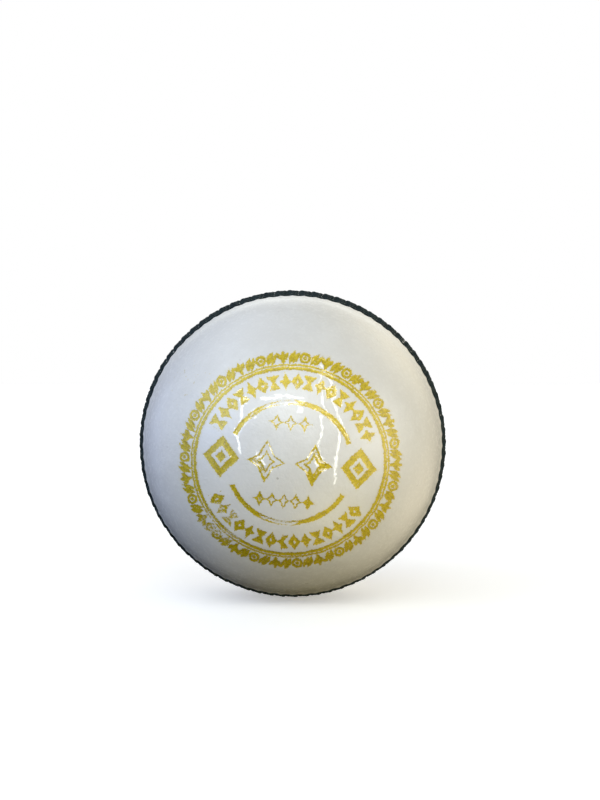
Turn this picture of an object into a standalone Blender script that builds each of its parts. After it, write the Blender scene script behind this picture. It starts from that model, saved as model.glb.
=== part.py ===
"""A cricket ball with a two-piece leather cover, taken apart layer by layer.

Metres, +Z up, origin at the centre of the ball. The seam lies in the XZ plane, so the ball
stands on its seam, the seam's axis is Y and the stamped front half looks along -Y.
"""

import math

import bmesh
import bpy
from mathutils import Vector

# Cover: a full-size ball is 224 to 229 mm round, and 226 mm is in the middle.
BALL_RADIUS = 0.0360
LEATHER = 0.0036
LINING = 0.0008
GAP = 0.0003
LIP_RISE = 0.00015

# Seam: six rows, three on each half, measured along the leather from the join.
STITCHES = 80
CLOSING_ROW = 0.0017
MIDDLE_ROW = 0.0056
OUTER_ROW = 0.0086
THREAD_DEPTH = 0.0012
STITCH_HALF_WIDTH = 0.00075
DIP_HALF_WIDTH = 0.00040
STITCH_DIP = 0.00045
STITCH_LEAN = 0.22
CLOSING_PROUD = 0.00070
SIDE_PROUD = 0.00050
CHANNEL_HALF_WIDTH = 0.00115
CHANNEL_FLOOR_HALF_WIDTH = 0.00100
CHANNEL_CLEARANCE = 0.00035

# Core: windings of yarn with layers of thin cork between them, on a solid nucleus.
WINDINGS = 5
WINDING = 0.0019
CORK = 0.00145
TAIL_HOLE = 0.0015

# Facets: the cups are fine, the hidden layers coarse and all on one grid.
CUP_STEPS = 48
CUP_ARC = math.radians(12)
LAYER_MERIDIANS = 16
LAYER_PARALLELS = 8
SMOOTH_ANGLE = math.radians(40)

LINING_OUTER = BALL_RADIUS - LEATHER - GAP
LINING_INNER = LINING_OUTER - LINING
CORE_RADIUS = LINING_INNER - GAP
CORK_LAYERS = WINDINGS - 1
NUCLEUS_RADIUS = CORE_RADIUS - WINDINGS * (WINDING + GAP) - CORK_LAYERS * (CORK + GAP)

FRONT, REAR = -1, 1


def material(name, colour, roughness, metallic=0.0):
    made = bpy.data.materials.new(name)
    made.use_nodes = True
    shader = made.node_tree.nodes["Principled BSDF"]
    shader.inputs["Base Color"].default_value = (*colour, 1)
    shader.inputs["Roughness"].default_value = roughness
    shader.inputs["Metallic"].default_value = metallic
    made.diffuse_color = (*colour, 1)
    return made


def place(name, data, finish):
    """Puts the mesh or curve in the scene as one named piece."""
    piece = bpy.data.objects.new(name, data)
    piece.data.materials.append(finish)
    bpy.context.scene.collection.objects.link(piece)
    return piece


def place_mesh(name, form, finish):
    bmesh.ops.recalc_face_normals(form, faces=form.faces)
    mesh = bpy.data.meshes.new(name)
    form.to_mesh(mesh)
    form.free()
    mesh.shade_smooth()
    mesh.set_sharp_from_angle(angle=SMOOTH_ANGLE)
    return place(name, mesh, finish)


def clear_scene():
    for leftover in list(bpy.data.objects):
        bpy.data.objects.remove(leftover, do_unlink=True)


# The leather cover

def on_cover(arc, radius):
    """Distance from the seam's axis and height over the join of a point on one half."""
    angle = arc / BALL_RADIUS
    return radius * math.cos(angle), radius * math.sin(angle)


def crown_radius(row):
    """The two closing rows stand prouder of the leather than the rows beside them."""
    return BALL_RADIUS + (CLOSING_PROUD if row == CLOSING_ROW else SIDE_PROUD)


def thread_foot(row):
    return crown_radius(row) - THREAD_DEPTH


def channel(row, surface):
    """Four points of the channel that one row of stitches is pulled into."""
    floor = thread_foot(row) - CHANNEL_CLEARANCE
    return [
        on_cover(row - CHANNEL_HALF_WIDTH, surface),
        on_cover(row - CHANNEL_FLOOR_HALF_WIDTH, floor),
        on_cover(row + CHANNEL_FLOOR_HALF_WIDTH, floor),
        on_cover(row + CHANNEL_HALF_WIDTH, surface),
    ]


def cup_profile():
    """Half section of a cup: lip, three channels, dome, and back along the inside."""
    points = [on_cover(GAP / 2, BALL_RADIUS + LIP_RISE)]
    points += channel(CLOSING_ROW, BALL_RADIUS + LIP_RISE)
    points += channel(MIDDLE_ROW, BALL_RADIUS)
    points += channel(OUTER_ROW, BALL_RADIUS)
    edge = (OUTER_ROW + CHANNEL_HALF_WIDTH) / BALL_RADIUS
    steps = math.ceil((math.pi / 2 - edge) / CUP_ARC)
    for step in range(1, steps + 1):
        angle = edge + (math.pi / 2 - edge) * step / steps
        points.append(on_cover(angle * BALL_RADIUS, BALL_RADIUS))
    inside = BALL_RADIUS - LEATHER
    steps = math.ceil(math.pi / 2 / CUP_ARC)
    for step in range(steps):
        angle = math.pi / 2 * (1 - step / steps)
        points.append((inside * math.cos(angle), inside * math.sin(angle)))
    points.append((inside, GAP / 2))
    return points


def turn_cup(name, side, finish):
    form = bmesh.new()
    corners = [form.verts.new((out, side * up, 0)) for out, up in cup_profile()]
    loop = list(zip(corners, corners[1:] + corners[:1]))
    # The closing edge of the section would lie on the axis, and encloses nothing.
    edges = [form.edges.new(pair) for pair in loop if not on_axis(pair)]
    bmesh.ops.spin(
        form, geom=corners + edges, axis=(0, 1, 0), cent=(0, 0, 0),
        angle=math.tau, steps=CUP_STEPS, use_merge=True,
    )
    bmesh.ops.remove_doubles(form, verts=form.verts, dist=1e-7)
    return place_mesh(name, form, finish)


def on_axis(pair):
    return all(abs(corner.co.x) < 1e-7 for corner in pair)


# The stitching

def thread_section(row, part, half_width, crown, lean):
    """Four corners of the thread round one point of a stitch: top, far side, foot, near side.

    part is how far along the stitch it lies, and lean carries the two sides apart
    along the row, so that the stitch slants across it.
    """
    foot = thread_foot(row)
    middle = (crown + foot) / 2
    return [
        (part, row, crown),
        (part + lean, row + half_width, middle),
        (part, row, foot),
        (part - lean, row - half_width, middle),
    ]


def stitch_sections(row):
    """A stitch dips where it goes through the leather and is fullest halfway."""
    top = crown_radius(row)
    return [
        thread_section(row, 0.0, DIP_HALF_WIDTH, top - STITCH_DIP, 0.0),
        thread_section(row, 0.5, STITCH_HALF_WIDTH, top, STITCH_LEAN),
    ]


def sew_row(name, row, side, finish):
    """One row is a single thread that goes all the way round."""
    form = bmesh.new()
    rings = []
    for stitch in range(STITCHES):
        for section in stitch_sections(row):
            ring = []
            for part, arc, radius in section:
                out, up = on_cover(arc, radius)
                turn = math.tau * (stitch + part) / STITCHES
                ring.append(form.verts.new((out * math.cos(turn), side * up, out * math.sin(turn))))
            rings.append(ring)
    for ring, following in zip(rings, rings[1:] + rings[:1]):
        for corner in range(len(ring)):
            beside = (corner + 1) % len(ring)
            form.faces.new((ring[corner], ring[beside], following[beside], following[corner]))
    return place_mesh(name, form, finish)


# The layers under the cover

def add_sphere(form, radius, inwards=False):
    made = bmesh.ops.create_uvsphere(
        form, u_segments=LAYER_MERIDIANS, v_segments=LAYER_PARALLELS, radius=radius
    )
    if inwards:
        faces = {face for corner in made["verts"] for face in corner.link_faces}
        bmesh.ops.reverse_faces(form, faces=list(faces))
    return made["verts"]


def bridge_rims(form):
    """Closes the wall between the outer and the inner surface of a shell."""
    rims = [edge for edge in form.edges if edge.is_boundary]
    bmesh.ops.bridge_loops(form, edges=rims)


def half_shell(name, inner, outer, towards, finish):
    """Half of a hollow sphere, its rim set back by half the gap between two halves."""
    form = bmesh.new()
    add_sphere(form, outer)
    add_sphere(form, inner, inwards=True)
    bmesh.ops.bisect_plane(
        form, geom=form.verts[:] + form.edges[:] + form.faces[:], dist=1e-6,
        plane_co=(0, 0, 0), plane_no=towards, clear_inner=True,
    )
    for corner in form.verts:
        if abs(corner.co.dot(towards)) < 1e-6:
            corner.co += towards * GAP / 2
    bridge_rims(form)
    return place_mesh(name, form, finish)


def wind_shell(name, inner, outer, end, finish):
    """A winding is one closed layer of yarn, with the small hole where its tail goes in."""
    form = bmesh.new()
    corners = add_sphere(form, outer) + add_sphere(form, inner, inwards=True)
    poles = [c for c in corners if abs(c.co.x) < 1e-6 and abs(c.co.y) < 1e-6 and c.co.z * end > 0]
    bmesh.ops.bevel(form, geom=poles, offset=TAIL_HOLE, segments=1, affect="VERTICES")
    lids = [face for face in form.faces if len(face.verts) == LAYER_MERIDIANS]
    bmesh.ops.delete(form, geom=lids, context="FACES_ONLY")
    bridge_rims(form)
    return place_mesh(name, form, finish)


def build_core(yarn, cork, composite):
    """Nucleus, then yarn and cork by turns; each cork layer splits across the last one."""
    form = bmesh.new()
    add_sphere(form, NUCLEUS_RADIUS)
    place_mesh("nucleus", form, composite)
    splits = (Vector((1, 0, 0)), Vector((0, 0, 1)), Vector((0, 1, 0)))
    radius = NUCLEUS_RADIUS
    for number in range(1, WINDINGS + 1):
        inner = radius + GAP
        radius = inner + WINDING
        wind_shell(f"winding_{number}", inner, radius, (-1) ** number, yarn)
        if number == WINDINGS:
            break
        inner = radius + GAP
        radius = inner + CORK
        split = splits[number % len(splits)]
        half_shell(f"cork_{number}a", inner, radius, split, cork)
        half_shell(f"cork_{number}b", inner, radius, -split, cork)


def build():
    clear_scene()
    leather = material("white_leather", (0.76, 0.75, 0.70), 0.30)
    linen = material("dark_thread", (0.016, 0.028, 0.030), 0.70)
    suede = material("lining_leather", (0.42, 0.30, 0.19), 0.85)
    yarn = material("wool_yarn", (0.62, 0.56, 0.45), 0.95)
    cork = material("cork_sheet", (0.46, 0.28, 0.14), 0.90)
    composite = material("cork_rubber", (0.12, 0.07, 0.045), 0.80)

    build_core(yarn, cork, composite)
    rows = {"closing": CLOSING_ROW, "middle": MIDDLE_ROW, "outer": OUTER_ROW}
    for half, side in (("front", FRONT), ("rear", REAR)):
        half_shell(f"{half}_lining", LINING_INNER, LINING_OUTER, Vector((0, side, 0)), suede)
        turn_cup(f"{half}_cup", side, leather)
        for place_in_seam, row in rows.items():
            sew_row(f"{place_in_seam}_row_{half}", row, side, linen)


build()
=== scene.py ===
import math

import bmesh
import bpy
import numpy as np
from mathutils import Matrix, Vector


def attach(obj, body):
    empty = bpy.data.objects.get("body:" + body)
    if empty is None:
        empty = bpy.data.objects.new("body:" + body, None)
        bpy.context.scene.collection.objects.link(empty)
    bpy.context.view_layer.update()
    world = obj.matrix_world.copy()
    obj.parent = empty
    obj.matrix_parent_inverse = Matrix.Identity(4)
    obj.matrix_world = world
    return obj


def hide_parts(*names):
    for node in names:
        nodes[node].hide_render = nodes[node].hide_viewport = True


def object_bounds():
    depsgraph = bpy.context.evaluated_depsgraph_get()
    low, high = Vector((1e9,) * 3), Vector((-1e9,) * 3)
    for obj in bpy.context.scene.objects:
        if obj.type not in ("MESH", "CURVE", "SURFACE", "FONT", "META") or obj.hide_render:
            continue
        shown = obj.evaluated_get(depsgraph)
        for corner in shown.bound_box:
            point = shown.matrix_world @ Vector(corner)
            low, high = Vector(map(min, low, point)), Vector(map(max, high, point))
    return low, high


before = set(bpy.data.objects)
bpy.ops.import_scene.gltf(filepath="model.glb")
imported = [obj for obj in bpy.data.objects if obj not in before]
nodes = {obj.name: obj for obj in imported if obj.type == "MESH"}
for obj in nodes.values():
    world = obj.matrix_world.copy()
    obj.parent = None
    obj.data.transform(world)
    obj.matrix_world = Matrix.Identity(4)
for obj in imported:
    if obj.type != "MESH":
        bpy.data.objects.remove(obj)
cad_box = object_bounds()


# ---------------------------------------------------------------- nucleus
# The solid ball at the centre: ground cork bound in dark rubber and moulded hot, so its
# skin is smooth rubber with cork crumbs showing through.

MM = 1000  # patterns are laid out in millimetres on object coordinates in metres


class Field:
    """A number that shader nodes work out at every point of a surface."""

    def __init__(self, tree, socket):
        self.tree, self.socket = tree, socket

    def math(self, operation, *values):
        node = self.tree.nodes.new("ShaderNodeMath")
        node.operation = operation
        for place, value in zip(node.inputs, values):
            if isinstance(value, Field):
                self.tree.links.new(value.socket, place)
            else:
                place.default_value = value
        return Field(self.tree, node.outputs[0])

    def __add__(self, other):
        return self.math("ADD", self, other)

    def __sub__(self, other):
        return self.math("SUBTRACT", self, other)

    def __rsub__(self, other):
        return self.math("SUBTRACT", other, self)

    def __mul__(self, other):
        return self.math("MULTIPLY", self, other)

    def __truediv__(self, other):
        return self.math("DIVIDE", self, other)

    __radd__, __rmul__ = __add__, __mul__

    def between(self, low, high):
        """0 below low and 1 above high, with a soft step from one to the other."""
        node = self.tree.nodes.new("ShaderNodeMapRange")
        node.interpolation_type = "SMOOTHSTEP"
        self.tree.links.new(self.socket, node.inputs["Value"])
        node.inputs["From Min"].default_value = low
        node.inputs["From Max"].default_value = high
        return Field(self.tree, node.outputs[0])


def new_material(name, roughness, specular, coat=0, coat_roughness=0.1):
    """A material and the tree and shader that its section goes on to fill in."""
    made = bpy.data.materials.new(name)
    made.use_nodes = True
    shader = made.node_tree.nodes["Principled BSDF"]
    for socket, value in (
        ("Roughness", roughness), ("Specular IOR Level", specular),
        ("Coat Weight", coat), ("Coat Roughness", coat_roughness),
    ):
        shader.inputs[socket].default_value = value
    return made, made.node_tree, shader


def object_mm(tree, scale=(1, 1, 1)):
    """Object coordinates in millimetres, stretched along an axis where a scale says so."""
    place = tree.nodes.new("ShaderNodeTexCoord")
    mapping = tree.nodes.new("ShaderNodeMapping")
    mapping.inputs["Scale"].default_value = [MM * part for part in scale]
    tree.links.new(place.outputs["Object"], mapping.inputs["Vector"])
    return mapping.outputs["Vector"]


def noise(tree, where, size, detail=3, roughness=0.5, seed=0.0):
    """Smooth noise whose lumps are about size millimetres across."""
    node = tree.nodes.new("ShaderNodeTexNoise")
    node.noise_dimensions = "4D"
    node.inputs["W"].default_value = seed
    node.inputs["Scale"].default_value = 1 / size
    node.inputs["Detail"].default_value = detail
    node.inputs["Roughness"].default_value = roughness
    tree.links.new(where, node.inputs["Vector"])
    return Field(tree, node.outputs["Fac"])


def cells(tree, where, size, feature="F1", seed=0.0):
    """Crumbs about size millimetres across: the distance in each, and its own tint."""
    node = tree.nodes.new("ShaderNodeTexVoronoi")
    node.voronoi_dimensions = "4D"
    node.feature = feature
    node.inputs["W"].default_value = seed
    node.inputs["Scale"].default_value = 1 / size
    tree.links.new(where, node.inputs["Vector"])
    if feature == "DISTANCE_TO_EDGE":
        return Field(tree, node.outputs["Distance"]), None
    split = tree.nodes.new("ShaderNodeSeparateColor")
    tree.links.new(node.outputs["Color"], split.inputs["Color"])
    return Field(tree, node.outputs["Distance"]), Field(tree, split.outputs["Red"])


def blend(tree, amount, low, high):
    """Colour that goes from low to high with the amount; either may be a socket."""
    node = tree.nodes.new("ShaderNodeMix")
    node.data_type = "RGBA"
    tree.links.new(amount.socket, node.inputs["Factor"])
    for place, value in ((node.inputs["A"], low), (node.inputs["B"], high)):
        if isinstance(value, bpy.types.NodeSocket):
            tree.links.new(value, place)
        else:
            place.default_value = (*value, 1)
    return node.outputs["Result"]


def raise_surface(tree, shader, height, depth_mm):
    """Feeds a height that runs from 0 to 1 to the shader as a relief of that depth."""
    node = tree.nodes.new("ShaderNodeBump")
    node.inputs["Distance"].default_value = depth_mm / MM
    tree.links.new(height.socket, node.inputs["Height"])
    tree.links.new(node.outputs["Normal"], shader.inputs["Normal"])


def dress(node, material):
    """Gives a CAD node its material; its shape stays as it is."""
    nodes[node].data.materials.clear()
    nodes[node].data.materials.append(material)


compound, tree, shader = new_material("cork_rubber_compound", 0.62, specular=0.35)
where = object_mm(tree)
crumb, tint = cells(tree, where, 1.6, seed=1.0)
shown = (tint - crumb * 0.4).between(0.22, 0.34)
cork_tint = blend(tree, noise(tree, where, 0.7), (0.30, 0.15, 0.07), (0.52, 0.31, 0.16))
rubber = blend(tree, noise(tree, where, 6), (0.035, 0.024, 0.018), (0.075, 0.050, 0.036))
tree.links.new(blend(tree, shown, rubber, cork_tint), shader.inputs["Base Color"])
tree.links.new((shown * 0.25 + 0.55).socket, shader.inputs["Roughness"])
raise_surface(tree, shader, shown * 0.4 + noise(tree, where, 0.4) * 0.6, 0.12)
dress("nucleus", compound)


# ---------------------------------------------------------------- windings of yarn
# Worsted yarn wound tight and damp round the core, layer over layer; it shrinks as it
# dries and squeezes everything under it.

yarn, tree, shader = new_material("worsted_yarn", 0.9, specular=0.2)
where = object_mm(tree)
lay = object_mm(tree, (0.25, 1.0, 1.0))
strand = noise(tree, lay, 0.55, detail=2, roughness=0.6, seed=3.0)
wool = blend(tree, strand, (0.40, 0.34, 0.25), (0.72, 0.66, 0.55))
tree.links.new(wool, shader.inputs["Base Color"])
raise_surface(tree, shader, strand * 0.7 + noise(tree, where, 0.15) * 0.3, 0.5)
for number in range(1, 6):
    dress(f"winding_{number}", yarn)


# ---------------------------------------------------------------- cork layers
# Thin sheets of ground and pressed cork, laid on as two half shells between windings.

cork, tree, shader = new_material("cork_sheet", 0.85, specular=0.25)
where = object_mm(tree)
crumb, tint = cells(tree, where, 1.1, seed=7.0)
joint, _ = cells(tree, where, 1.1, feature="DISTANCE_TO_EDGE", seed=7.0)
grain = tint * 0.6 + noise(tree, where, 0.5) * 0.4
pressed = blend(tree, grain, (0.27, 0.14, 0.06), (0.62, 0.40, 0.21))
seams = joint.between(0.0, 0.08)
tree.links.new(blend(tree, seams, (0.16, 0.08, 0.035), pressed), shader.inputs["Base Color"])
raise_surface(tree, shader, seams * 0.7 + noise(tree, where, 0.3) * 0.3, 0.18)
for layer in range(1, 5):
    for half in "ab":
        dress(f"cork_{layer}{half}", cork)


# ---------------------------------------------------------------- linings
# A thin split-leather cup inside each half of the cover, pasted in flesh side out.

lining, tree, shader = new_material("split_leather", 0.9, specular=0.2)
where = object_mm(tree)
nap = noise(tree, where, 0.35, detail=5, roughness=0.7)
shade = noise(tree, where, 9, detail=2, seed=2.0)
suede = blend(tree, shade * 0.5 + nap * 0.5, (0.28, 0.18, 0.10), (0.55, 0.41, 0.27))
tree.links.new(suede, shader.inputs["Base Color"])
raise_surface(tree, shader, nap, 0.15)
for half in ("front", "rear"):
    dress(f"{half}_lining", lining)


# ---------------------------------------------------------------- leather cups
# Two halves of alum-tanned steerhide, each pressed into a cup from one disc, finished
# white and lacquered; their lips meet in the seam plane. The front one carries the stamp.

COVER = 36.0          # radius of the leather away from the seam, mm
LEATHER = 3.6
STITCHES = 80
ROWS = {"closing": 1.7, "middle": 5.6, "outer": 8.6}   # from the join along the leather
LIP = 0.01            # half of the gap left between the two lips, which are pressed together
QUARTER = COVER * math.pi / 2                          # from the pole to the join, along the leather


def either_way(operation, with_arrays):
    """A function that works on arrays of points and on shader values alike."""
    def worked_out(*values):
        fields = [value for value in values if isinstance(value, Field)]
        return fields[0].math(operation, *values) if fields else with_arrays(*values)
    return worked_out


smaller = either_way("MINIMUM", np.minimum)
larger = either_way("MAXIMUM", np.maximum)
size = either_way("ABSOLUTE", np.abs)
root = either_way("SQRT", np.sqrt)
whole = either_way("FLOOR", np.floor)
bearing = either_way("ARCTAN2", np.arctan2)


# The stamp is drawn as distances in millimetres, below zero inside the foil, so that the
# same drawing colours the leather and presses it in.

STAMP_TURN = math.radians(5.3)
STAMP_SHIFT, STAMP_RISE = -0.38, -2.45             # the die sat a little low on the half
STAMP_LEAN = 1.02                                 # and leant, so the marks are this much flatter
RING_LINES = ((20.80, 0.56), (21.52, 0.26))       # radius and stroke of the two rings
BORDER_RADIUS = 23.20
BORDER_LEAVES = 30
BAND_RADIUS = 17.85
BAND_PITCH = math.tau / 44
ARC_RADIUS = 13.35
ARC_STROKE = 0.86
OUTER_ORNAMENT, INNER_ORNAMENT = 14.9, 5.1        # to either side of the middle
APART = 50.0          # a distance that keeps a mark out of a cell it isn't for


def turned(u, v, angle):
    """Coordinates on axes turned by the angle."""
    c, s = math.cos(angle), math.sin(angle)
    return u * c + v * s, v * c - u * s


def lozenge(u, v, across, up):
    """Distance to a solid lozenge of these half widths."""
    slope = across * up / math.hypot(across, up)
    return (size(u) / across + size(v) / up - 1) * slope


def frame_of(distance, stroke):
    """The outline of a shape, the stroke's width inside its edge."""
    return size(distance + stroke / 2) - stroke / 2


def star(u, v, across, up, waist):
    """Four points, made of two crossed lozenges."""
    return smaller(lozenge(u, v, across, waist), lozenge(u, v, waist, up))


def leaf(u, v, half_length, half_width):
    """A pointed oval, from two circles that overlap."""
    radius = (half_length ** 2 + half_width ** 2) / (2 * half_width)
    offset = size(v) + (radius - half_width)
    return root(u * u + offset * offset) - radius


def ring(distance, radius, stroke):
    return size(distance - radius) - stroke / 2


def nearest(value, pitch):
    """The number of the nearest cell of that pitch, and the offset from its middle."""
    number = whole(value / pitch + 0.5)
    return number, value - number * pitch


def every(number, count, place):
    """0 in the cells whose number is place, counted over and over, and 1 or more elsewhere."""
    return size(number - place - whole((number - place) / count + 0.5) * count)


def stamp(x, z):
    """Distance to the foil marks from a point of the seam's plane, seen from the front."""
    u, v = turned(x - STAMP_SHIFT, (z - STAMP_RISE) * STAMP_LEAN, -STAMP_TURN)
    out = root(u * u + v * v)
    turn = bearing(u, v)                # 0 at the top, growing to the right

    # a bold ring and a fine one round it
    marks = smaller(*(ring(out, radius, stroke) for radius, stroke in RING_LINES))

    # the leafy border: two leaves side by side, then a curl round a bead or a spray of three
    number, beside = nearest(turn, math.tau / BORDER_LEAVES)
    along = beside * BORDER_RADIUS
    over = out - BORDER_RADIUS
    marks = smaller(marks, leaf(*turned(along + 1.75, over, 1.05), 1.50, 0.55))
    marks = smaller(marks, leaf(*turned(along + 0.80, over + 0.10, 1.05), 1.40, 0.45))
    odd = every(number, 2, 0)
    curl = root((along - 1.15) * (along - 1.15) + over * over)
    curls = smaller(ring(curl, 0.92, 0.48), curl - 0.34)
    sprays = leaf(*turned(along - 1.15, over, 1.57), 1.45, 0.48)
    for lean, shift in ((0.75, 1.75), (2.39, 0.55)):
        sprays = smaller(sprays, leaf(*turned(along - shift, over - 0.15, lean), 1.20, 0.44))
    marks = smaller(marks, smaller(curls + odd * APART, sprays + (1 - odd) * APART))

    # a band of small lozenges, hourglasses and stars where a maker's words would be
    number, beside = nearest(turn, BAND_PITCH)
    along = beside * BAND_RADIUS
    over = out - BAND_RADIUS
    lozenges = frame_of(lozenge(along, over, 1.28, 1.72), 0.72)
    glasses = larger(size(over) - 1.50, (size(along) - size(over) * 0.70 - 0.22) * 0.8)
    stars = star(along, over, 1.28, 1.72, 0.78)
    band = smaller(lozenges + every(number, 3, 0) * APART, glasses + every(number, 3, 1) * APART)
    band = smaller(band, stars + every(number, 3, 2) * APART)
    ends = larger(8.5 * BAND_PITCH - size(turn), size(turn) - 14.5 * BAND_PITCH)
    marks = smaller(marks, larger(band, 0 - ends * BAND_RADIUS))

    # two bold arcs inside the band
    gap = larger(math.radians(67) - size(turn), size(turn) - math.radians(117))
    marks = smaller(marks, larger(ring(out, ARC_RADIUS, ARC_STROKE), 0 - gap * ARC_RADIUS))

    # a row of four large ornaments across the middle: lozenges outside, stars inside
    side = size(u)
    outer = frame_of(lozenge(side - OUTER_ORNAMENT, v, 3.9, 4.5), 1.25)
    outer = smaller(outer, lozenge(side - OUTER_ORNAMENT, v, 1.1, 1.3))
    inner = frame_of(star(side - INNER_ORNAMENT, v, 3.9, 4.5, 2.35), 1.15)
    marks = smaller(marks, smaller(inner, outer))

    # small ornaments over and under the row
    for rise, pitch, count in ((8.8, 3.0, 1), (-8.3, 2.6, 2)):
        number, beside = nearest(u + 0.6, pitch)
        small = star(beside, v - rise, 1.2, 1.5, 0.75)
        marks = smaller(marks, larger(small, size(u + 0.6) - (count + 0.5) * pitch))
    return marks


# The leather's relief, as heights over the ball in millimetres. Along a half it depends on
# the arc from the join; round the ball, on where the stitches go in.

RIDGE, JOIN_GROOVE, FURROW, SHOULDER, NIB = 0.30, 0.45, 0.34, 0.10, 0.15


def hump(arc, middle, width):
    return np.exp(-((arc - middle) / width) ** 2)


def swell(points, wavelength, depth, seed):
    """A slow unevenness: a few waves that cross at odd angles."""
    rng = np.random.default_rng(seed)
    total = np.zeros(len(points))
    waves = 14
    for _ in range(waves):
        heading = rng.normal(size=3)
        heading *= math.tau / wavelength * rng.uniform(0.6, 1.5) / np.linalg.norm(heading)
        total += np.sin(points @ heading + rng.uniform(0, math.tau))
    return depth * total / math.sqrt(waves)


def seam_relief(arc, turn):
    """Lips that rise to the join, a furrow under each row, and nibs pulled up at the holes."""
    height = RIDGE * hump(arc, 0, 3.0) - JOIN_GROOVE * hump(arc, 0, 0.28)
    hole = (0.5 + 0.5 * np.cos(STITCHES * turn)) ** 2
    for row in ROWS.values():
        height -= (FURROW + 0.12 * hole) * hump(arc, row, 0.60)
    for crest in (3.65, 7.1):
        height += (0.06 - 0.04 * hole) * hump(arc, crest, 0.85)
    return height + SHOULDER * hump(arc, 10.2, 0.9) + NIB * hole * hump(arc, 9.62, 0.45)


STAMP_REACH = 27.5    # from the pole to just past the stamp, mm
SEAM_REACH = 12.5     # from the join to just past the outer row, mm
# corners in a ring, by how far it may lie from the pole
RING_COUNTS = ((0.45, 10), (0.9, 20), (1.9, 40), (3.8, 80), (7.6, 160), (15.5, 320), (99, 640))


def ring_arcs():
    """Rings from the pole to the lip: close over the stamp and the seam, wider between."""
    arcs = []
    arc = 0.25
    while arc < QUARTER - LIP:
        arcs.append(arc)
        if arc < STAMP_REACH:
            arc += 0.30
        elif arc < QUARTER - SEAM_REACH:
            arc += 0.75
        else:
            arc += 0.25 if arc <= QUARTER - 1.0 else 0.12
    return arcs + [QUARTER - LIP]


def join_rings(faces, near, far):
    """Faces between two rings; the outer may have twice as many corners as the inner."""
    twice = len(far) // len(near)
    for step in range(len(near)):
        a, b = near[step], near[(step + 1) % len(near)]
        if twice == 1:
            faces.append((a, far[step], far[(step + 1) % len(far)], b))
        else:
            c, d, e = far[2 * step], far[2 * step + 1], far[(2 * step + 2) % len(far)]
            faces.extend(((a, c, d), (a, d, b), (b, d, e)))


def cup_mesh(name, side, pressed=None):
    """One half of the cover as a closed shell; side is -1 for the front, 1 for the rear."""
    arcs, turns, radii, rings = [0.0], [0.0], [COVER], [[0]]

    def add_ring(arc, radius, count):
        rings.append(list(range(len(arcs), len(arcs) + count)))
        arcs.extend([arc] * count)
        turns.extend(math.tau * step / count for step in range(count))
        radii.extend([radius] * count)

    for arc in ring_arcs():
        count = next(count for reach, count in RING_COUNTS if arc <= reach)
        add_ring(arc, COVER, count)
    outside = len(arcs)
    inside = COVER - LEATHER
    for share in (0.3, 0.7, 1.0):
        add_ring(QUARTER - LIP, COVER - LEATHER * share, len(rings[-1]))
    for depth, count in ((1.6, 320), (3.6, 160), (6.6, 80)):
        add_ring(QUARTER - depth, inside, count)
    for arc in np.arange(QUARTER - 10, 9, -3.4):
        add_ring(arc, inside, 80)
    for arc, count in ((6.5, 40), (4, 20), (2, 10)):
        add_ring(arc, inside, count)
    arcs.append(0.0)
    turns.append(0.0)
    radii.append(inside)

    arcs, turns, radii = np.array(arcs), np.array(turns), np.array(radii)
    angle = arcs / COVER
    outward = np.sin(angle)
    ways = np.stack([outward * np.cos(turns), side * np.cos(angle), outward * np.sin(turns)], axis=1)
    skin = np.arange(len(arcs)) < outside
    height = seam_relief(QUARTER - arcs, turns)
    height += swell(ways * COVER, 17, 0.045, seed=5 + side)
    height += swell(ways * COVER, 6, 0.012, seed=9 + side)
    height += swell(ways * COVER, 1.8, 0.0026, seed=13 + side)
    if pressed:
        height += pressed(ways[:, 0] * COVER, ways[:, 2] * COVER)
    radii = radii + np.where(skin, height, 0)
    points = ways * radii[:, None] / MM

    first, last, centre = rings[1], rings[-1], len(arcs) - 1
    faces = [(0, first[step], first[(step + 1) % len(first)]) for step in range(len(first))]
    for near, far in zip(rings[1:], rings[2:]):
        if len(far) >= len(near):
            join_rings(faces, near, far)
        else:
            turned_over = []
            join_rings(turned_over, far, near)
            faces.extend(face[::-1] for face in turned_over)
    faces += [(last[step], centre, last[(step + 1) % len(last)]) for step in range(len(last))]
    mesh = bpy.data.meshes.new(name)
    mesh.from_pydata(points, [], faces)
    form = bmesh.new()
    form.from_mesh(mesh)
    bmesh.ops.recalc_face_normals(form, faces=form.faces)
    form.to_mesh(mesh)
    form.free()
    mesh.shade_smooth()
    mesh.set_sharp_from_angle(angle=math.radians(50))
    return mesh


PRESS_DEPTH = 0.045


def pressed_in(x, z):
    """The hot die leaves the marks a little below the leather round them."""
    edge = np.clip((0.12 - stamp(x, z)) / 0.40, 0, 1)
    return -PRESS_DEPTH * edge * edge * (3 - 2 * edge)


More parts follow.
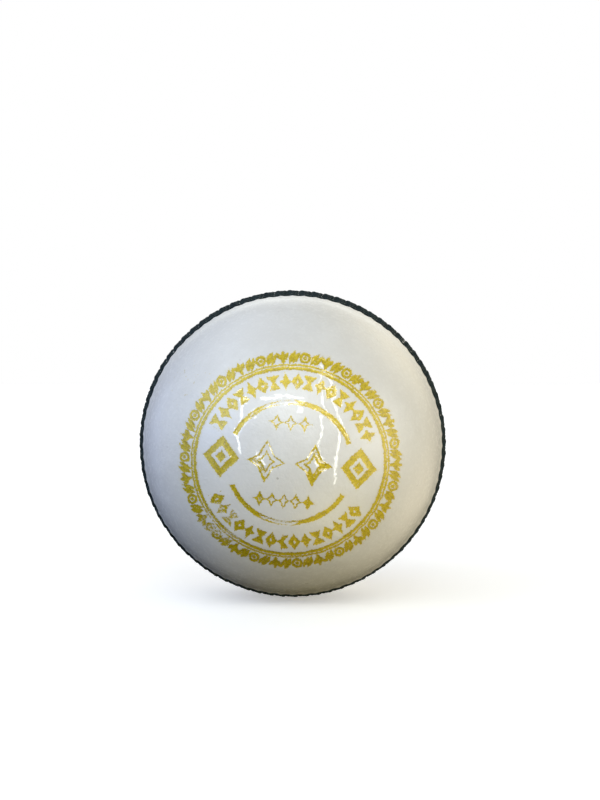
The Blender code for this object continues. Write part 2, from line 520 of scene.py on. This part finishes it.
def leather_group():
    """What both halves share: mottled finish, roughness, pores and creases, and clear coat."""
    group = bpy.data.node_groups.new("lacquered_leather", "ShaderNodeTree")
    for name in ("Grime", "Creases", "Orange Peel"):
        group.interface.new_socket(name, in_out="INPUT", socket_type="NodeSocketFloat")
    group.interface.new_socket("Tint", in_out="OUTPUT", socket_type="NodeSocketColor")
    for name in ("Roughness", "Relief", "Lacquer"):
        group.interface.new_socket(name, in_out="OUTPUT", socket_type="NodeSocketFloat")
    given = group.nodes.new("NodeGroupInput")
    result = group.nodes.new("NodeGroupOutput")
    where = object_mm(group)
    mottle = noise(group, where, 14, detail=4, roughness=0.55, seed=4.0)
    cloud = noise(group, where, 3.2, detail=3, roughness=0.6, seed=8.0)
    white = blend(group, mottle.between(0.3, 0.7), (0.74, 0.725, 0.685), (0.80, 0.79, 0.755))
    tint = blend(group, cloud.between(0.25, 0.75), (0.745, 0.730, 0.690), white)
    # the leather is darker in noisy patches near the join, and a few specks and scuffs sit anywhere
    split = group.nodes.new("ShaderNodeSeparateXYZ")
    group.links.new(where, split.inputs["Vector"])
    from_join = size(Field(group, split.outputs["Y"]))
    grime = (1 - from_join.between(6.0, 13.0)) * (0.25 + 0.5 * noise(group, where, 1.6, detail=4, seed=6.0))
    tint = blend(group, grime * Field(group, given.outputs["Grime"]), tint, (0.42, 0.38, 0.31))
    # painted shade: the leather is painted near black along the furrow under each row of stitches
    for row in ROWS.values():
        furrow = size(from_join - COVER * math.sin(row / COVER))
        tint = blend(group, (1 - furrow.between(0.25, 0.85)) * 0.9, tint, (0.030, 0.036, 0.034))
    speck = noise(group, where, 1.15, detail=1, seed=12.0).between(0.775, 0.80)
    tint = blend(group, speck * 0.6, tint, (0.36, 0.33, 0.27))
    scuff = noise(group, object_mm(group, (0.10, 1.0, 1.4)), 1.2, detail=2, seed=15.0)
    tint = blend(group, scuff.between(0.70, 0.76) * 0.25, tint, (0.52, 0.50, 0.48))
    group.links.new(tint, result.inputs["Tint"])
    pores = noise(group, where, 0.32, detail=2, roughness=0.6, seed=2.0)
    ripple = noise(group, where, 0.9, detail=3, roughness=0.6, seed=17.0)
    crease = noise(group, where, 2.8, detail=3, roughness=0.5, seed=3.0)
    # in patches the clear coat dried to a finer ripple, which breaks up what it reflects
    patch = noise(group, where, 5.0, detail=2, seed=41.0).between(0.40, 0.56)
    peel = noise(group, where, 0.55, detail=1, seed=42.0) * (patch * 0.8 + 0.2)
    relief = pores * 0.10 + ripple * 0.65 + crease * Field(group, given.outputs["Creases"])
    relief = relief + peel * Field(group, given.outputs["Orange Peel"])
    group.links.new(relief.socket, result.inputs["Relief"])
    group.links.new((cloud * 0.12 + speck * 0.2 + 0.26).socket, result.inputs["Roughness"])
    # the clear coat is all but gone among the stitches, and handling has thinned it in spots
    thin = noise(group, where, 0.85, detail=3, roughness=0.65, seed=43.0).between(0.37, 0.52)
    coat = from_join.between(8.6, 10.6) * (0.40 + 0.50 * thin) + 0.05
    group.links.new(coat.socket, result.inputs["Lacquer"])
    return group


def leather_in(tree, shader, grime, creases, peel):
    """Places the shared group in a material, with that half's own values."""
    node = tree.nodes.new("ShaderNodeGroup")
    node.node_tree = bpy.data.node_groups.get("lacquered_leather") or leather_group()
    node.inputs["Grime"].default_value = grime
    node.inputs["Creases"].default_value = creases
    node.inputs["Orange Peel"].default_value = peel
    tree.links.new(node.outputs["Lacquer"], shader.inputs["Coat Weight"])
    return node


def lacquer(name):
    """Leather under a clear coat, which gives the ball its shine."""
    return new_material(name, 0.32, specular=0.4, coat=0.8, coat_roughness=0.035)


plain, tree, shader = lacquer("white_leather_plain")
leather = leather_in(tree, shader, grime=0.45, creases=0.50, peel=0.4)
tree.links.new(leather.outputs["Tint"], shader.inputs["Base Color"])
tree.links.new(leather.outputs["Roughness"], shader.inputs["Roughness"])
raise_surface(tree, shader, Field(tree, leather.outputs["Relief"]), 0.05)

# The stamped half adds gold foil. Play has rubbed the middle of the stamp: there the
# foil is gone from inside the strokes and lasts longest along their pressed edges, while
# further out it has only flaked in patches.
stamped, tree, shader = lacquer("white_leather_stamped")
leather = leather_in(tree, shader, grime=0.60, creases=0.58, peel=0.8)
where = object_mm(tree)
wobble = noise(tree, where, 1.6, detail=2, seed=21.0) - 0.5
split = tree.nodes.new("ShaderNodeSeparateXYZ")
tree.links.new(where, split.inputs["Vector"])
right, front, up = (Field(tree, split.outputs[axis]) for axis in "XYZ")
drawn = stamp(right + wobble * 0.5, up - wobble * 0.5)
grit = noise(tree, where, 0.36, detail=3, roughness=0.65, seed=22.0) - 0.5
distance = drawn + grit - 0.10
inside = 1 - distance.between(-0.07, 0.07)
by_edge = distance.between(-0.46, -0.20)


def spot(across, height, solid, reach):
    """1 round a point of the stamped half, seen from the front, and 0 beyond the reach."""
    du, dv = right - across, up - height
    return 1 - root(du * du + dv * dv).between(solid, reach)


rubbed = 0.13
for across, height, reach, wear in (
    (-3.0, 0.5, 7.5, 0.48), (5.5, 0.0, 5.5, 0.28), (-1.0, 8.0, 8.0, 0.46),
    (-2.0, -9.5, 6.5, 0.50), (-9.0, 8.0, 5.0, 0.30), (-3.0, 18.5, 10.0, 0.40), (1.0, -20.0, 11.0, 0.36),
    (-15.5, -13.0, 10.0, 0.50),
):
    rubbed = rubbed + spot(across, STAMP_RISE + height, 0.3 * reach, 1.25 * reach) * wear
patchy = noise(tree, where, 0.5, detail=4, roughness=0.75, seed=23.0) * 0.65
patchy = patchy + noise(tree, where, 2.6, detail=2, seed=24.0) * 0.35
middle = spot(0, STAMP_RISE, 10.0, 15.5)
hold = by_edge * 0.30 * middle + (1 - middle) * 0.13
left = (patchy + hold - rubbed * 0.72).between(0.10, 0.19)
pits = noise(tree, where, 0.30, detail=2, roughness=0.6, seed=26.0).between(0.30, 0.38)
dust = (1 - (drawn + grit * 1.6).between(-0.1, 0.75)) * (patchy - rubbed * 0.35).between(0.30, 0.62)
stray = noise(tree, where, 0.9, detail=1, seed=27.0).between(0.66, 0.72) * spot(-22.0, 14.0, 3.0, 7.0)
foil = larger(larger(inside * left * (0.50 + 0.50 * pits), dust * 0.30), stray * 0.45)
foil = foil * (0 - front).between(10, 12)          # only on the outside of this half
# the foil's tone varies in fine specks: partly its own unevenness, partly painted shade
foil_tone_and_shade = noise(tree, where, 0.40, detail=4, roughness=0.7, seed=25.0)
gold = blend(tree, foil_tone_and_shade.between(0.34, 0.60), (0.40, 0.290, 0.004), (0.66, 0.505, 0.012))
tree.links.new(blend(tree, foil, leather.outputs["Tint"], gold), shader.inputs["Base Color"])
tree.links.new((foil * 0.22).socket, shader.inputs["Metallic"])
tree.links.new((Field(tree, leather.outputs["Roughness"]) + foil * 0.12).socket, shader.inputs["Roughness"])
press = drawn.between(-0.20, 0.12)
relief = Field(tree, leather.outputs["Relief"]) * 0.75 + press * 0.15 + grit * foil * 0.10
raise_surface(tree, shader, relief, 0.10)

for half, side, material, pressed in (("front", -1, stamped, pressed_in), ("rear", 1, plain, None)):
    cup = bpy.data.objects.new(f"{half}_leather", cup_mesh(f"{half}_leather", side, pressed))
    cup.data.materials.append(material)
    bpy.context.scene.collection.objects.link(cup)
    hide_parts(f"{half}_cup")
    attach(cup, "root")


# ---------------------------------------------------------------- seam stitching
# Six rows of waxed three-ply linen thread, dyed a dark green-blue. The two beside the
# join sew the halves together; the others are sewn through each half before closing.

THREAD = 0.53         # radius of the thread, mm
STITCH_LENGTH = 3.5
STITCH_SLANT = math.radians(15)
STITCH_BOW = 0.42     # how far the middle of a stitch stands over its mean, and its ends lie under
STITCH_TWIST = 3.6    # radians that the three plies turn over one stitch
CROWN = {"closing": 36.18, "middle": 36.02, "outer": 36.00}   # middle of the thread at its highest


def thread_material():
    made, tree, shader = new_material("waxed_linen_thread", 0.6, specular=0.15)
    where = object_mm(tree)
    fibre = noise(tree, where, 0.10, detail=3, roughness=0.6, seed=31.0)
    batch = noise(tree, where, 2.0, detail=2, seed=32.0)
    dye = blend(tree, batch.between(0.3, 0.7), (0.006, 0.013, 0.015), (0.014, 0.027, 0.028))
    # lighter fibres on the thread: partly wear, partly a painted highlight
    fibre_wear_and_highlight = blend(tree, fibre.between(0.50, 0.72), dye, (0.050, 0.066, 0.064))
    tree.links.new(fibre_wear_and_highlight, shader.inputs["Base Color"])
    raise_surface(tree, shader, fibre, 0.06)
    return made


def stitch_tree():
    """Geometry Nodes for one row: a bowed, twisted stitch repeated round the ball."""
    tree = bpy.data.node_groups.new("stitch_row", "GeometryNodeTree")
    tree.is_modifier = True
    add, link = tree.nodes.new, tree.links.new
    tree.interface.new_socket("Geometry", in_out="INPUT", socket_type="NodeSocketGeometry")
    tree.interface.new_socket("Stitches", in_out="INPUT", socket_type="NodeSocketInt")
    for name in ("Row Radius", "Row Offset", "Length", "Bow", "Thread", "Slant", "Twist"):
        tree.interface.new_socket(name, in_out="INPUT", socket_type="NodeSocketFloat")
    tree.interface.new_socket("Material", in_out="INPUT", socket_type="NodeSocketMaterial")
    tree.interface.new_socket("Geometry", in_out="OUTPUT", socket_type="NodeSocketGeometry")
    given = add("NodeGroupInput").outputs
    result = add("NodeGroupOutput")

    def number(operation, *values):
        node = add("ShaderNodeMath")
        node.operation = operation
        for place, value in zip(node.inputs, values):
            if isinstance(value, (int, float)):
                place.default_value = value
            else:
                link(value, place)
        return node.outputs[0]

    def vector(x, y, z):
        node = add("ShaderNodeCombineXYZ")
        for place, value in zip(node.inputs, (x, y, z)):
            if isinstance(value, (int, float)):
                place.default_value = value
            else:
                link(value, place)
        return node.outputs[0]

    # the stitch: an arched line, its ends down in the leather, swept with a three-lobed section
    half = number("MULTIPLY", given["Length"], 0.5)
    arch = add("GeometryNodeCurveQuadraticBezier")
    arch.inputs["Resolution"].default_value = 8
    foot = number("MULTIPLY", given["Bow"], -1)
    link(vector(number("MULTIPLY", half, -1), 0, foot), arch.inputs["Start"])
    link(vector(0, 0, given["Bow"]), arch.inputs["Middle"])
    link(vector(half, 0, foot), arch.inputs["End"])
    along = add("GeometryNodeSplineParameter")
    tilt = add("GeometryNodeSetCurveTilt")
    link(arch.outputs[0], tilt.inputs["Curve"])
    link(number("MULTIPLY", along.outputs["Factor"], given["Twist"]), tilt.inputs["Tilt"])
    section = add("GeometryNodeCurveStar")
    section.inputs["Points"].default_value = 3
    link(number("MULTIPLY", given["Thread"], 0.74), section.inputs["Inner Radius"])
    link(given["Thread"], section.inputs["Outer Radius"])
    sweep = add("GeometryNodeCurveToMesh")
    sweep.inputs["Fill Caps"].default_value = True
    link(tilt.outputs[0], sweep.inputs["Curve"])
    link(section.outputs["Curve"], sweep.inputs["Profile Curve"])
    slant = add("GeometryNodeTransform")
    link(sweep.outputs[0], slant.inputs["Geometry"])
    link(vector(0, 0, given["Slant"]), slant.inputs["Rotation"])

    # the row: points round the ball, each turned to face outwards and run along the seam
    circle = add("GeometryNodeMeshCircle")
    link(given["Stitches"], circle.inputs["Vertices"])
    link(given["Row Radius"], circle.inputs["Radius"])
    upright = add("GeometryNodeTransform")
    link(circle.outputs[0], upright.inputs["Geometry"])
    upright.inputs["Rotation"].default_value = (math.pi / 2, 0, math.pi)
    link(vector(0, given["Row Offset"], 0), upright.inputs["Translation"])
    position = add("GeometryNodeInputPosition")
    outwards = add("ShaderNodeVectorMath")
    outwards.operation = "NORMALIZE"
    link(position.outputs[0], outwards.inputs[0])
    onwards = add("ShaderNodeVectorMath")
    onwards.operation = "CROSS_PRODUCT"
    onwards.inputs[1].default_value = (0, 1, 0)
    link(outwards.outputs[0], onwards.inputs[0])
    facing = add("FunctionNodeAxesToRotation")
    facing.primary_axis, facing.secondary_axis = "Z", "X"
    link(outwards.outputs[0], facing.inputs["Primary Axis"])
    link(onwards.outputs[0], facing.inputs["Secondary Axis"])
    copies = add("GeometryNodeInstanceOnPoints")
    link(upright.outputs[0], copies.inputs["Points"])
    link(slant.outputs[0], copies.inputs["Instance"])
    link(facing.outputs[0], copies.inputs["Rotation"])

    def uneven(seed, low, high):
        node = add("FunctionNodeRandomValue")
        node.data_type = "FLOAT_VECTOR"
        node.inputs["Min"].default_value, node.inputs["Max"].default_value = low, high
        node.inputs["Seed"].default_value = seed
        return node.outputs["Value"]

    link(uneven(3, (0.93, 0.90, 0.92), (1.05, 1.08, 1.08)), copies.inputs["Scale"])
    pulled = add("GeometryNodeRotateInstances")
    link(copies.outputs[0], pulled.inputs["Instances"])
    link(uneven(4, (-0.05, -0.03, -0.11), (0.05, 0.03, 0.11)), pulled.inputs["Rotation"])
    real = add("GeometryNodeRealizeInstances")
    link(pulled.outputs[0], real.inputs[0])
    smooth = add("GeometryNodeSetShadeSmooth")
    link(real.outputs[0], smooth.inputs[0])
    coloured = add("GeometryNodeSetMaterial")
    link(smooth.outputs[0], coloured.inputs["Geometry"])
    link(given["Material"], coloured.inputs["Material"])
    link(coloured.outputs[0], result.inputs[0])
    return tree


def grown(name, tree, **inputs):
    """The plain mesh that a Geometry Nodes tree makes with these inputs."""
    start = bpy.data.objects.new(name + "_start", bpy.data.meshes.new(name + "_start"))
    bpy.context.scene.collection.objects.link(start)
    modifier = start.modifiers.new("grow", "NODES")
    modifier.node_group = tree
    for item in tree.interface.items_tree:
        if item.in_out == "INPUT" and item.name.replace(" ", "_").lower() in inputs:
            modifier[item.identifier] = inputs[item.name.replace(" ", "_").lower()]
    bpy.context.view_layer.update()
    evaluated = start.evaluated_get(bpy.context.evaluated_depsgraph_get())
    mesh = bpy.data.meshes.new_from_object(evaluated)
    mesh.name = name
    bpy.data.objects.remove(start)
    return mesh


thread = thread_material()
sewing = stitch_tree()
for half, side in (("front", -1), ("rear", 1)):
    for row, arc in ROWS.items():
        name = f"{row}_stitches_{half}"
        angle = arc / COVER
        mesh = grown(
            name, sewing, stitches=STITCHES, row_radius=CROWN[row] * math.cos(angle) / MM,
            row_offset=side * CROWN[row] * math.sin(angle) / MM, length=STITCH_LENGTH / MM,
            bow=STITCH_BOW / MM, thread=THREAD / MM, slant=side * STITCH_SLANT, twist=STITCH_TWIST,
            material=thread,
        )
        stitches = bpy.data.objects.new(name, mesh)
        bpy.context.scene.collection.objects.link(stitches)
        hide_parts(f"{row}_row_{half}")
        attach(stitches, "root")


# ---------------------------------------------------------------- floor, light and camera
# A pale table top under the ball, soft light from a cool side and a warm one, and the
# camera a little above the middle of the stamp.

def toward(azimuth, elevation):
    """Unit vector from the ball; azimuth 0 is the stamped front and 90 its right."""
    turn, rise = math.radians(azimuth), math.radians(elevation)
    return Vector((math.sin(turn) * math.cos(rise), -math.cos(turn) * math.cos(rise), math.sin(rise)))


PANEL_DISTANCE = 1.2


def strip_light(name, azimuth, elevation, lean, length, width, power, colour):
    """A narrow panel that only shows as a streak in the lacquer."""
    light = bpy.data.lights.new(name, "AREA")
    light.shape = "RECTANGLE"
    light.size, light.size_y = width, length
    light.energy = power
    light.color = colour
    panel = bpy.data.objects.new(name, light)
    way = toward(azimuth, elevation)
    panel.location = way * PANEL_DISTANCE
    panel.rotation_euler = (-way).to_track_quat("-Z", "Y").to_euler()
    panel.rotation_euler.rotate_axis("Z", math.radians(lean))
    panel.visible_diffuse = False
    bpy.context.scene.collection.objects.link(panel)


floor_height = cad_box[0][2]
FLOOR_REACH = 6.0
form = bmesh.new()
bmesh.ops.create_circle(form, cap_ends=True, segments=96, radius=FLOOR_REACH)
table_top = bpy.data.meshes.new("table_top")
form.to_mesh(table_top)
form.free()
table_top.transform(Matrix.Translation((0, 0, floor_height - 0.0002)))
white, tree, shader = new_material("pale_table", 0.8, specular=0.2)
shader.inputs["Base Color"].default_value = (0.9, 0.9, 0.9, 1)
shader.inputs["Emission Color"].default_value = (1, 1, 1, 1)
shader.inputs["Emission Strength"].default_value = 0.35
table_top.materials.append(white)
table = bpy.data.objects.new("table_top", table_top)
bpy.context.scene.collection.objects.link(table)
table.visible_diffuse = table.visible_glossy = False

world = bpy.data.worlds.new("studio")
bpy.context.scene.world = world
world.use_nodes = True
sky = world.node_tree
backdrop = sky.nodes["Background"]
backdrop.inputs["Color"].default_value = (1, 1, 1, 1)
glow = sky.nodes.new("ShaderNodeBackground")
direction = sky.nodes.new("ShaderNodeTexCoord").outputs["Generated"]
# a fitting program found these directions and colours; most rows were then changed
LOBE_SHARPNESS = 12
total = None
for azimuth, elevation, colour in (                # soft pools of light all round
    (0, 32, (3.56, 3.70, 3.66)), (-60, 32, (1.73, 1.82, 1.80)), (-60, 12, (0.64, 1.06, 2.15)),
    (65, 6, (2.92, 2.84, 2.62)), (40, -46, (1.62, 1.36, 0.52)), (120, -22, (1.10, 0.96, 0.72)),
    (130, 32, (1.40, 1.24, 0.86)), (-120, 6, (0.42, 0.48, 0.74)), (-120, 58, (0.84, 0.86, 0.93)),
    (180, 20, (2.01, 2.04, 1.98)),
):
    facing = sky.nodes.new("ShaderNodeVectorMath")
    facing.operation = "DOT_PRODUCT"
    facing.inputs[1].default_value = toward(azimuth, elevation)
    sky.links.new(direction, facing.inputs[0])
    towards = larger(Field(sky, facing.outputs["Value"]), 0)
    lobe = towards.math("POWER", towards, LOBE_SHARPNESS)
    lit = sky.nodes.new("ShaderNodeVectorMath")
    lit.operation = "MULTIPLY_ADD"
    sky.links.new(lobe.socket, lit.inputs[0])
    lit.inputs[1].default_value = colour
    if total:
        sky.links.new(total, lit.inputs[2])
    total = lit.outputs["Vector"]
sky.links.new(total, glow.inputs["Color"])
ray = sky.nodes.new("ShaderNodeLightPath")
choice = sky.nodes.new("ShaderNodeMixShader")
sky.links.new(ray.outputs["Is Camera Ray"], choice.inputs["Fac"])
sky.links.new(glow.outputs[0], choice.inputs[1])
sky.links.new(backdrop.outputs[0], choice.inputs[2])
sky.links.new(choice.outputs[0], sky.nodes["World Output"].inputs["Surface"])

# a program worked out the directions of these streaks and panes; some were then moved
strip_light("left_strip", -39, 14, 3, 0.85, 0.035, 1.5, (0.95, 0.98, 1))
strip_light("right_strip", 34, 17, -2, 2.3, 0.045, 4.0, (1, 0.98, 0.90))
strip_light("inner_strip", 22, 20, -8, 1.8, 0.03, 1.9, (1, 0.98, 0.92))
strip_light("top_strip", -8, 37.5, 90, 0.65, 0.04, 1.4, (1, 1, 1))
panes = ((-24, -7, 0.22), (20, -11, 0.24), (-29, 23, 0.08), (7, 26, 0.08))
for number, (azimuth, elevation, length) in enumerate(panes):
    strip_light(f"pane_{number}", azimuth, elevation, 0, length, 0.09, length * 3.2, (1, 1, 1))

CAMERA_DISTANCE = 0.32
VIEW_HEIGHT = 0.192   # how much of the ball's plane the view's height takes in
SENSOR_HEIGHT = 24    # mm
CAMERA_AZIMUTH, CAMERA_ELEVATION = 0.4, 3.0
camera = bpy.data.objects.new("camera", bpy.data.cameras.new("camera"))
camera.data.sensor_fit = "VERTICAL"
camera.data.sensor_height = SENSOR_HEIGHT
bpy.context.scene.collection.objects.link(camera)
way = toward(CAMERA_AZIMUTH, CAMERA_ELEVATION)
camera.location = way * CAMERA_DISTANCE
level = toward(CAMERA_AZIMUTH + 90, 0)
above = level.cross(-way)
aim = level * 0.00175 + above * 0.0104             # the ball lies a little below the view's middle
camera.rotation_euler = (aim - camera.location).to_track_quat("-Z", "Y").to_euler()
camera.data.lens = SENSOR_HEIGHT * CAMERA_DISTANCE / VIEW_HEIGHT
camera.data.clip_start = 0.01
bpy.context.scene.camera = camera
bpy.context.scene.view_settings.view_transform = "Standard"
